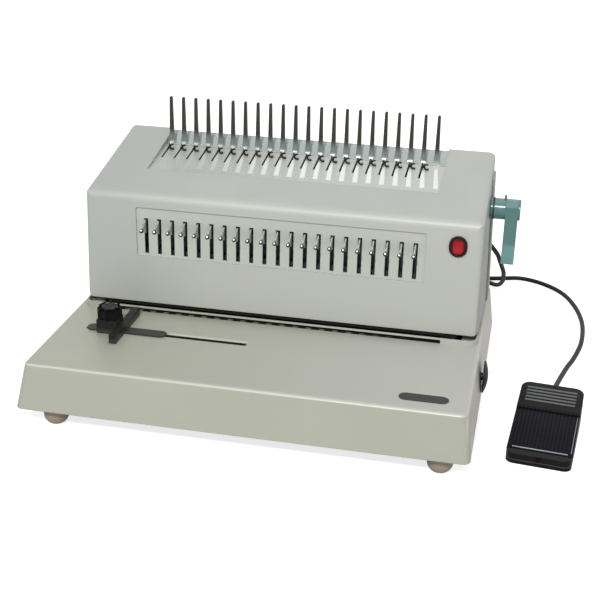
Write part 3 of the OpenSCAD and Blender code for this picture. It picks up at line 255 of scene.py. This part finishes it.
flex.resolution_u = 8
flex.bevel_depth = cord_r / 1000
flex.bevel_resolution = 5
flex.use_fill_caps = True
strand = flex.splines.new("BEZIER")
strand.bezier_points.add(len(cord_route) - 1)
for knot, place, before, after in zip(strand.bezier_points, cord_route, cord_route[:1] + cord_route,
                                      cord_route[1:] + cord_route[-1:]):
    reach = (at(*after) - at(*before)) / 6
    if place[2] == cord_r:
        reach.z = 0
    knot.co = at(*place)
    knot.handle_left_type = "FREE"
    knot.handle_right_type = "FREE"
    knot.handle_left = knot.co - reach
    knot.handle_right = knot.co + reach
cord = bpy.data.objects.new("pedal_flex", flex)
bpy.context.collection.objects.link(cord)
cord_rubber = surface("cord_rubber", tone(16, 16, 18), 0.45, drift=0.15, bump=0.1, shine=0.25)
tint(cord_rubber, tone(46, 44, 40), ramp(cord_rubber, "Y", 160, 60))
flex.materials.append(cord_rubber)
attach(cord, "chassis")
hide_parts("pedal_cord")


# The cord gland
# A black rubber sleeve with flexing grooves, moulded round the cord where it leaves
# the rear panel, and held there by its flange.
def piece(name, bm, finish, body, place=machine):
    """A mesh built in millimetres, set in its place as a piece that rides on a body."""
    bmesh.ops.remove_doubles(bm, verts=bm.verts, dist=0.001)
    bmesh.ops.recalc_face_normals(bm, faces=bm.faces)
    bmesh.ops.transform(bm, matrix=place, verts=bm.verts)
    mesh = bpy.data.meshes.new(name)
    bm.to_mesh(mesh)
    bm.free()
    mesh.shade_smooth()
    mesh.set_sharp_from_angle(angle=math.radians(35))
    mesh.materials.append(finish)
    made = bpy.data.objects.new(name, mesh)
    bpy.context.collection.objects.link(made)
    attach(made, body)
    return made


def turned(bm, profile, centre, axis, steps=48):
    """A turned shape: a profile of (along, radius) points spun round an axis."""
    along = Vector(axis)
    out = along.orthogonal().normalized()
    rim = [bm.verts.new(Vector(centre) + along * s + out * r) for s, r in profile]
    line = [bm.edges.new(pair) for pair in zip(rim, rim[1:])]
    bmesh.ops.spin(bm, geom=rim + line, cent=centre, axis=along, angle=math.tau, steps=steps,
                   use_merge=True)


gland_place = (195, 150, 118)
gland_profile = [(-2, 0), (-2, 6.2), (0, 6.2), (0, 7.8), (0.5, 8.3), (2.4, 8.3), (3, 7.7), (3, 5.6)]
for groove in range(4):
    start = 4 + groove * 4.2
    girth = 5.5 - groove * 0.4
    gland_profile += [(start, girth), (start + 2.2, girth - 0.1), (start + 2.5, girth - 1),
                      (start + 3.7, girth - 1.1), (start + 4, girth - 0.3)]
gland_profile += [(22, 3.9), (23.6, 3.6), (24, 3.2), (24, 0)]
gland_rubber = surface("gland_rubber", tone(20, 20, 21), 0.45, drift=0.1, bump=0.1, shine=0.25)
sleeve = bmesh.new()
turned(sleeve, gland_profile, gland_place, (0, 1, 0))
gland = piece("gland_sleeve", sleeve, gland_rubber, "chassis")
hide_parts("cord_gland")


# The base cover
# A folded and welded steel tray turned upside down, sprayed pale grey-green. Its top is the paper
# table, with the side guide's slot in it. Light and shade are painted on: the table lighter to the
# right, the right side lighter, a painted highlight along the edges and behind the slot, and painted
# shade in the slot.
def dress(finish, *names):
    """Gives CAD nodes their finish."""
    for name in names:
        nodes[name].material_slots[0].material = finish


def band(finish, axis, low, high, soft):
    """The two masks of a band along an axis of the machine, which fades out on both sides."""
    return ramp(finish, axis, low - soft, low), ramp(finish, axis, high + soft, high)


table_z = 68
slot_y = -60
base_paint = surface("base_paint", tone(177, 179, 164), 0.32, drift=0.02, grain=700, bump=0.05, edge=0.0007)
# Painted light: the table's top is painted lighter towards the right.
tint(base_paint, tone(193, 194, 186), ramp(base_paint, "Z", table_z - 0.6, table_z - 0.2),
     ramp(base_paint, "X", -180, 200))
# Painted light: the base's right side is painted lighter.
tint(base_paint, tone(216, 210, 198), ramp(base_paint, "X", 214.5, 216), ramp(base_paint, "Y", -162, -150))
# Painted highlight along the table's rounded front and side edges.
tint(base_paint, tone(208, 210, 198), *band(base_paint, "Z", table_z - 1.9, table_z - 1, 0.7))
slot_run = ramp(base_paint, "X", -191, -189), ramp(base_paint, "X", -16, -19)
# Painted highlight: a light band just behind the slot's right half.
tint(base_paint, tone(212, 213, 203), *slot_run, ramp(base_paint, "X", -110, -95),
     ramp(base_paint, "Y", slot_y + 2, slot_y + 3), ramp(base_paint, "Y", slot_y + 9, slot_y + 5))
# Painted shade: the slot and its lips are painted dark.
tint(base_paint, tone(40, 40, 32), *slot_run, *band(base_paint, "Y", slot_y - 2.7, slot_y + 2.7, 0.4))
dress(base_paint, "base_cover")


# The badge plate
# A dark anodised plate with round ends, stuck on the table's right front corner.
badge = bmesh.new()
bmesh.ops.create_cube(badge, size=1)
bmesh.ops.scale(badge, vec=(47.5, 13.8, 0.7), verts=badge.verts)
bmesh.ops.translate(badge, vec=(172.5, -131, table_z + 0.3), verts=badge.verts)
upright = [e for e in badge.edges if abs(e.verts[0].co.z - e.verts[1].co.z) > 0.4]
bmesh.ops.bevel(badge, geom=upright, offset=6.8, segments=12, profile=0.5, affect="EDGES", material=-1)
badge_dark = surface("badge_dark", tone(62, 63, 63), 0.3, metal=0.4, drift=0.1)
piece("badge_plate", badge, badge_dark, "chassis")


# The bottom pan and feet
# A steel pan closes the base from below; four moulded rubber feet are screwed to it.
# Each foot is painted darker at its top, as painted shade where it meets the pan.
foot_h = 24
pan_steel = surface("pan_steel", tone(120, 122, 118), 0.45, metal=0.6, drift=0.08)
feet_rubber = surface("feet_rubber", tone(163, 149, 131), 0.75, drift=0.06, grain=2500, bump=0.15)
# Painted shade: darker towards the top of each foot.
tint(feet_rubber, tone(44, 38, 32), ramp(feet_rubber, "Z", foot_h - 6, foot_h - 1))
dress(pan_steel, "bottom_pan")
dress(feet_rubber, "rubber_feet")


# The works inside
# Steel side frames, the iron punch ram with its pins, the cam shaft, gears and motor. The die and
# the punch guide are blackened; the die's front edge is painted lighter in front of every hole, a
# painted highlight for the lit lands between the holes, fading out towards the left.
def repeat(finish, value, start, step):
    """Distance to the nearest of a row of places, a step apart, inside a finish."""
    tree = finish.node_tree
    shift = tree.nodes.new("ShaderNodeMath")
    shift.operation = "SUBTRACT"
    shift.inputs[1].default_value = start
    tree.links.new(value, shift.inputs[0])
    fold = tree.nodes.new("ShaderNodeMath")
    fold.operation = "PINGPONG"
    fold.inputs[1].default_value = step / 2
    tree.links.new(shift.outputs[0], fold.inputs[0])
    return fold.outputs[0]


pitch_x = 14.2875
frame_steel = surface("frame_steel", tone(84, 86, 88), 0.4, metal=0.8, drift=0.08)
gear_steel = surface("gear_steel", tone(120, 122, 124), 0.35, metal=0.9, drift=0.1)
tool_steel = surface("tool_steel", tone(150, 152, 155), 0.25, metal=1.0, drift=0.08)
die_black = surface("die_black", tone(30, 30, 24), 0.5, drift=0.15, shine=0.2)
ram_iron = surface("ram_iron", tone(88, 92, 94), 0.55, metal=0.5, drift=0.12)
bush_bronze = surface("bush_bronze", tone(168, 130, 80), 0.35, metal=0.9, drift=0.1)
motor_paint = surface("motor_paint", tone(62, 66, 70), 0.5, metal=0.2, drift=0.1)
# Painted highlight: lighter spots on the die's front edge, one for each hole.
lit_land_spot = repeat(die_black, axes(die_black)["X"], at(pitch_x / 2, 0, 0).x, pitch_x / 1000)
tint(die_black, tone(120, 120, 104), fade(die_black, lit_land_spot, 0.0033, 0.0023),
     ramp(die_black, "Y", -2.6, -3.4), ramp(die_black, "X", 150, 60))
dress(frame_steel, "side_frames", "comb_shaft", "cam_shaft")
dress(gear_steel, "cam_gear", "motor_pinion", "shaft_pinions", "press_cams", "margin_stop")
dress(tool_steel, "punch_pins", "hook_carriage")
dress(die_black, "die_plate", "punch_guide")
dress(ram_iron, "ram_beam")
dress(bush_bronze, "bearing_bushes")
dress(motor_paint, "drive_motor")


# The head cover
# A pressed steel hood over the punch, sprayed pale grey, with a recessed panel in its front and a
# rear panel whose wings lap its sides, held by screws. The mains inlet is set in the rear panel.
brow_z = 198
head_paint = surface("head_paint", tone(187, 190, 184), 0.4, drift=0.02, grain=700, bump=0.05, edge=0.0007)
# Painted light and shade: below the brow the hood is lighter from the middle rightwards, the roof darker
# towards its left end, and the right side darker.
tint(head_paint, tone(197, 199, 191), ramp(head_paint, "Z", brow_z + 1.5, brow_z - 1.5),
     ramp(head_paint, "X", -200, -60))
tint(head_paint, tone(177, 180, 175), ramp(head_paint, "Z", brow_z - 1.5, brow_z + 1.5),
     ramp(head_paint, "X", -60, -200))
tint(head_paint, tone(172, 172, 164), ramp(head_paint, "X", 208.5, 210.5))
panel_paint = surface("panel_paint", tone(200, 203, 194), 0.4, drift=0.02, grain=700, bump=0.06,
                      edge=0.0005)
screw_steel = surface("screw_steel", tone(150, 152, 154), 0.3, metal=0.9, drift=0.1)
tint(screw_steel, tone(45, 14, 16), ramp(screw_steel, "Z", 30, 20))
black_plastic = surface("black_plastic", tone(15, 15, 17), 0.4, drift=0.12, bump=0.12, edge=0.0006,
                        shine=0.2)
dress(head_paint, "head_cover", "rear_panel")
dress(panel_paint, "front_panel")
dress(screw_steel, "cover_screws")
dress(black_plastic, "power_inlet")


# The comb deck
# A steel plate let into the roof and sprayed with it, with a slot for each hook. It is painted
# lighter to the right, and in front of the fingers a white streak of painted reflection lies for
# every ring, strongest at the machine's right end.
def finger_x(i):
    """Place of a finger along the machine."""
    return (i - 10.5) * pitch_x - 3


def lean(finish, value, slope, other):
    """A value with a share of another added, for a mark that lies at a slant."""
    tree = finish.node_tree
    total = tree.nodes.new("ShaderNodeMath")
    total.operation = "MULTIPLY_ADD"
    total.inputs[1].default_value = slope
    tree.links.new(other, total.inputs[0])
    tree.links.new(value, total.inputs[2])
    return total.outputs[0]


deck_paint = surface("deck_paint", tone(186, 189, 181), 0.28, drift=0.02, grain=700, bump=0.04, edge=0.0005)
# Painted light: the deck is painted lighter towards its right.
tint(deck_paint, tone(204, 207, 199), ramp(deck_paint, "X", -120, 60))
deck_place = axes(deck_paint)
# The white streaks are a painted reflection, one in front of each finger.
streak_lean = 0.1
streak_taper = 0.02
streak_row = at(finger_x(0) + 1, 0, 0).x + streak_lean * at(0, 118, 0).y
streak_line = lean(deck_paint, deck_place["X"], streak_lean, deck_place["Y"])
streak_side = repeat(deck_paint, streak_line, streak_row, pitch_x / 1000)
streak = lean(deck_paint, streak_side, streak_taper, deck_place["Y"])
streak_tip = streak_taper * at(0, 71, 0).y
tint(deck_paint, tone(255, 255, 252), fade(deck_paint, streak, streak_tip + 0.0032, streak_tip + 0.002),
     ramp(deck_paint, "Y", 65, 69), ramp(deck_paint, "Y", 118, 106), ramp(deck_paint, "X", -160, 40))
tint(deck_paint, tone(70, 72, 66), *band(deck_paint, "Y", 122.7, 123.4, 0.3))
trough_paint = surface("trough_paint", tone(186, 193, 192), 0.35, drift=0.03, grain=700, bump=0.04,
                       shine=0.3)
dress(deck_paint, "comb_deck")
dress(trough_paint, "finger_trough")


# The fingers
# Flat spring steel uprights, each one bent forward on to the deck at its foot. Their colour is a
# painted reflection: dark at the top and lighter towards the foot, where the bright deck shows in them.
deck_z = 218.42
finger_front = 126.1
finger_steel = surface("finger_steel", tone(58, 58, 50), 0.3, metal=0.35, drift=0.15)
# Painted reflection: lighter towards the foot.
tint(finger_steel, tone(140, 150, 147), ramp(finger_steel, "Z", deck_z + 19, deck_z + 6))
tint(finger_steel, tone(200, 208, 205), ramp(finger_steel, "Z", deck_z + 6, deck_z))
dress(finger_steel, "comb_fingers")

foot_bend = 3.6
foot_w = 4.6
foot_top = deck_z - 0.4 + foot_bend
feet = bmesh.new()
for i in range(21):
    ends = [feet.verts.new((finger_x(i) + s * foot_w / 2, finger_front, foot_top)) for s in (-1, 1)]
    strip = feet.edges.new(ends)
    bmesh.ops.spin(feet, geom=ends + [strip], cent=(0, finger_front - foot_bend, foot_top),
                   axis=(1, 0, 0), angle=-math.pi / 2, steps=6)
bmesh.ops.recalc_face_normals(feet, faces=feet.faces)
bmesh.ops.solidify(feet, geom=list(feet.faces), thickness=0.5)
foot_bright = surface("foot_bright", tone(196, 199, 196), 0.2, metal=0.9, drift=0.03)
piece("finger_feet", feet, foot_bright, "chassis")


# The hooks
# Bent steel wire on the sliding carriage, one beside each finger: a ring that opens to the right
# takes the comb's ring, and a prong in front of it guides the comb down on to the deck.
def rod(bm, start, end, r_start, r_end):
    """A straight round rod that tapers from one end to the other."""
    along = Vector(end) - Vector(start)
    spot = Matrix.Translation((Vector(start) + Vector(end)) / 2)
    turn = along.to_track_quat("Z", "Y").to_matrix().to_4x4()
    bmesh.ops.create_cone(bm, cap_ends=True, segments=10, radius1=r_start, radius2=r_end,
                          depth=along.length, matrix=spot @ turn)


knee_y = 118.85
knee_z = 220.4
ring_y = 108.5
ring_z = 219.8
ring_r = 2.7
ring_start = math.radians(60)
wire_r = 1
hooks = bmesh.new()
for i in range(21):
    middle = Vector((finger_x(i) + 6, ring_y, ring_z))
    mouth = middle + ring_r * Vector((math.cos(ring_start), 0, math.sin(ring_start)))
    wire = bmesh.ops.create_circle(
        hooks, segments=10, radius=wire_r, cap_ends=True,
        matrix=Matrix.Translation(mouth) @ Matrix.Rotation(-ring_start, 4, "Y"))["verts"]
    tip = wire[0].link_faces[0]
    bmesh.ops.spin(hooks, geom=[tip] + list(tip.edges) + wire, cent=middle, axis=(0, -1, 0),
                   angle=math.radians(250), steps=16)
    knee = Vector((finger_x(i), knee_y, knee_z))
    rod(hooks, knee - Vector((0, 0, 10)), knee, 0.65, 0.8)
    rod(hooks, knee, middle - Vector((ring_r, 0, 0)), 0.8, 0.9)
    rod(hooks, middle - Vector((5.4, 2, 3)), middle + Vector((-2.2, 0, 3)), 0.55, 0.9)
hook_steel = surface("hook_steel", tone(20, 22, 22), 0.25, drift=0.1, shine=0.3)
hook_row = piece("hook_row", hooks, hook_steel, "hook_slide")
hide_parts("comb_hooks")


# The die selectors
# Chromed pulls, one for each punch: a flat blade that slides in its slot, with a ball to pull it
# by. The chrome is painted dark as a painted reflection of a dark room. The blade's flats are dull
# and lighter; the ball has a painted highlight on its upper front.
ball_r = 2.25
ball_z = 163
# Painted reflection: the chrome's dark colour stands for a dark room seen in it.
selector_chrome = surface("selector_chrome", tone(84, 86, 82), 0.32, metal=1.0, drift=0.05)
tint(selector_chrome, tone(172, 174, 166), ramp(selector_chrome, "Y", -12.5, -9))
ball_place = axes(selector_chrome)
ball_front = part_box("die_selector_01")[0].y
# Painted highlight: a white cap on the ball's upper front.
glint_lean = -1 / 0.7
glint = lean(selector_chrome, ball_place["Z"], glint_lean, ball_place["Y"])
ball_top = (ball_z + ball_r * (math.hypot(1, glint_lean) + glint_lean)) / 1000 + glint_lean * ball_front
tint(selector_chrome, tone(240, 241, 237),
     fade(selector_chrome, glint, ball_top + 0.0004 * glint_lean, ball_top + 0.0001 * glint_lean))
dress(selector_chrome, *[f"die_selector_{i:02d}" for i in range(1, 22)])


# The power switch
# An upright oval bezel of glossy black plastic, snapped into the head's front, with a red rocker
# whose middle is painted brighter red, as painted light.
rocker_x = 185.5
rocker_z = 173.5
bezel_black = surface("bezel_black", tone(20, 17, 18), 0.2, drift=0.1, edge=0.0005, shine=0.4)
rocker_red = surface("rocker_red", tone(84, 9, 14), 0.22, drift=0.1, edge=0.0005, shine=0.3)
# Painted light: the rocker is brighter red in its middle.
tint(rocker_red, tone(176, 18, 28), *band(rocker_red, "X", rocker_x - 3, rocker_x + 3, 3.2),
     *band(rocker_red, "Z", rocker_z - 4, rocker_z + 4, 4.2))
dress(bezel_black, "switch_bezel")
dress(rocker_red, "power_rocker")


# The comb lever
# A teal plastic lever pinned to the end of the comb shaft, with a dark ring between its hub and
# the head's side.
lever_teal = surface("lever_teal", tone(92, 134, 131), 0.22, drift=0.05, edge=0.001)
# Painted light: the lever's lower end is painted lighter.
tint(lever_teal, tone(106, 151, 148), ramp(lever_teal, "Z", 147, 144.5))
dress(lever_teal, "comb_handle")
dress(screw_steel, "handle_pin")
collar_place = (212.6, 102, 182.485)
collar = bmesh.new()
turned(collar, [(0, 10.6), (0, 11.6), (0.4, 11.8), (1.8, 11.8), (2.2, 11.6), (2.2, 10.6), (0, 10.6)],
       collar_place, (1, 0, 0))
collar_dark = surface("collar_dark", tone(46, 72, 69), 0.45, drift=0.1, shine=0.3)
piece("lever_collar", collar, collar_dark, "comb_lever")


# The side guide
# A moulded black stop that slides in the table's slot and is clamped by a knob with eight grips,
# whose flat top is lighter grey.
knob_place = Vector((-164, slot_y, 83.3))
knob = bmesh.new()
rim = bmesh.ops.create_circle(knob, cap_ends=True, segments=96, radius=1)["verts"]
for v in rim:
    grip = 12.3 + 1.3 * math.cos(8 * math.atan2(v.co.y, v.co.x))
    v.co = Vector((v.co.x * grip, v.co.y * grip, 0))
top = rim[0].link_faces[0]
knob_steps = ((0, 1), (-0.8, 0), (0, 7.7), (0.5, 0.6), (0.9, 0.4), (1.1, 0), (0.3, 1.8), (0.5, 0.5))
for drawn_in, raised in knob_steps:
    if drawn_in:
        bmesh.ops.inset_region(knob, faces=[top], thickness=abs(drawn_in), use_outset=drawn_in < 0)
    if raised:
        lifted = bmesh.ops.extrude_discrete_faces(knob, faces=[top])["faces"]
        top = lifted[0]
        bmesh.ops.translate(knob, vec=(0, 0, raised), verts=top.verts)
stem_r = 3
turned(knob, [(-11, 0), (-11, stem_r), (0.5, stem_r), (0.5, 0)], (0, 0, 0), (0, 0, 1), 24)
knob_black = surface("knob_black", tone(12, 12, 15), 0.42, drift=0.12, bump=0.12, shine=0.15)
tint(knob_black, tone(58, 58, 60), ramp(knob_black, "Z", 94.4, 94.8))
guide_knob = piece("grip_knob", knob, knob_black, "clamp",
                   machine @ Matrix.Translation(knob_place))
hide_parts("guide_knob")
guide_black = surface("guide_black", tone(30, 31, 30), 0.4, drift=0.12, bump=0.12, edge=0.0006, shine=0.25)
tint(guide_black, tone(58, 60, 56), ramp(guide_black, "Z", 74, 72))
dress(guide_black, "side_guide")


# The margin knob and chip tray
# Both are moulded in black plastic: the round knob on the base's right side sets the paper's
# margin, and the tray slides in at the left under the die.
dress(black_plastic, "margin_knob", "chip_tray")


# The foot pedal
# A moulded black treadle hinged at its back on a wedge shaped base. Its back end is ribbed across,
# the pad in front of the step is ribbed lengthwise, and the ribs carry painted highlights. Strips
# of bare metal along the pad's front and right edges are made bright to stand for highlights too.
pedal_turn = math.radians(5.4)
pedal = machine @ Matrix.Translation((288.7, -61, 0)) @ Matrix.Rotation(-pedal_turn, 4, "Z")
pedal_half = 31.5
pedal_l = 109
pedal_back = pedal_l / 2
pedal_rear_h = 34.5
pedal_front_h = 13
pedal_slope = (pedal_rear_h - pedal_front_h) / pedal_l
pad_front = -47
step_y = 12.5
plate_low = -7


def slab(bm, x0, x1, y0, y1, low, high, rounding, corner=0.0, corner_y=0.0):
    """A plate that follows the treadle's slope, its heights counted from the treadle's top."""
    others = set(bm.faces)
    verts = bmesh.ops.create_cube(bm, size=1)["verts"]
    bmesh.ops.scale(bm, vec=(x1 - x0, y1 - y0, high - low), verts=verts)
    bmesh.ops.translate(bm, vec=((x0 + x1) / 2, (y0 + y1) / 2, (low + high) / 2), verts=verts)
    if corner:
        ends = [e for e in bm.edges if e.verts[0] in verts and abs(e.verts[0].co.y - corner_y) < 0.1
                and abs(e.verts[0].co.z - e.verts[1].co.z) > 0.1]
        bmesh.ops.bevel(bm, geom=ends, offset=corner, segments=8, profile=0.5, affect="EDGES", material=-1)
    crown = max((f for f in bm.faces if f not in others), key=lambda f: f.calc_center_median().z)
    bmesh.ops.bevel(bm, geom=list(crown.edges), offset=rounding, segments=3, profile=0.5,
                    affect="EDGES", material=-1)
    for v in {v for f in bm.faces if f not in others for v in f.verts}:
        v.co.z += pedal_rear_h - (pedal_back - v.co.y) * pedal_slope


treadle = bmesh.new()
slab(treadle, -pedal_half, pedal_half, step_y, pedal_back, plate_low, 0.3, rounding=0.3,
     corner=9, corner_y=pedal_back)
slab(treadle, -pedal_half, pedal_half, pad_front, step_y + 1, plate_low, -0.9, rounding=1.2)
rib_step = 3.7
for k in range(-7, 8):
    rib_x = k * rib_step
    slab(treadle, rib_x - 0.9, rib_x + 0.9, pad_front + 3.5, step_y - 3, -1.4, -0.35, 0.45)
hinge_y = 46
hinge_z = 19.8
for s in (-1, 1):
    lug = (s * (pedal_half - 4.8), hinge_y, hinge_z)
    turned(treadle, [(-2, 0), (-2, 5), (2, 5), (2, 0)], lug, (1, 0, 0), 24)
    rod(treadle, lug, (s * (pedal_half - 0.8), hinge_y, hinge_z), 3, 3)
treadle_black = surface("treadle_black", tone(7, 7, 12), 0.34, drift=0.15, bump=0.1, shine=0.08)
treadle_place = axes(treadle_black)
rib_lean = -math.tan(pedal_turn)
rib_row = pedal.translation.x + rib_lean * pedal.translation.y
rib_line = lean(treadle_black, treadle_place["X"], rib_lean, treadle_place["Y"])
# Painted highlight: the crowns of the pad's lengthwise ribs are lighter.
rib_highlight = repeat(treadle_black, rib_line, rib_row, rib_step / 1000)
tint(treadle_black, tone(25, 27, 35), fade(treadle_black, rib_highlight, 0.0008, 0.0004))
tint(treadle_black, tone(32, 32, 29), ramp(treadle_black, "Z", 26.8, 27.5))
shoe_pad = piece("shoe_pad", treadle, treadle_black, "treadle", pedal)
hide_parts("pedal_treadle")
cross_ribs = bmesh.new()
for k in range(5):
    rib_y = pedal_back - 9 - 5 * k
    slab(cross_ribs, 6.5 - pedal_half, pedal_half - 6.5, rib_y - 1, rib_y + 1, -0.4, 1.2, 0.7)
# Painted highlight: the cross ribs are a lighter grey.
rib_grey = surface("rib_grey", tone(92, 95, 96), 0.35, drift=0.1)
piece("treadle_ribs", cross_ribs, rib_grey, "treadle", pedal)
# Bare metal strips on the pad's edges, made bright as painted highlights as well.
bare_and_lit_edge = bmesh.new()
slab(bare_and_lit_edge, 5 - pedal_half, pedal_half - 5, pad_front + 0.7, pad_front + 1.5, -1.3, -0.2, 0.35)
slab(bare_and_lit_edge, pedal_half - 2.4, pedal_half - 1.7, pad_front + 4, step_y - 2, -1.3, -0.55, 0.3)
edge_bright = surface("edge_bright", tone(150, 154, 162), 0.35, metal=0.5, drift=0.3)
piece("treadle_edge", bare_and_lit_edge, edge_bright, "treadle", pedal)
pedal_black = surface("pedal_black", tone(13, 13, 15), 0.32, drift=0.1, bump=0.15, edge=0.0008, shine=0.2)
tint(pedal_black, tone(72, 75, 74), *band(pedal_black, "Z", 4.1, 4.5, 0.5))
dress(pedal_black, "pedal_base")
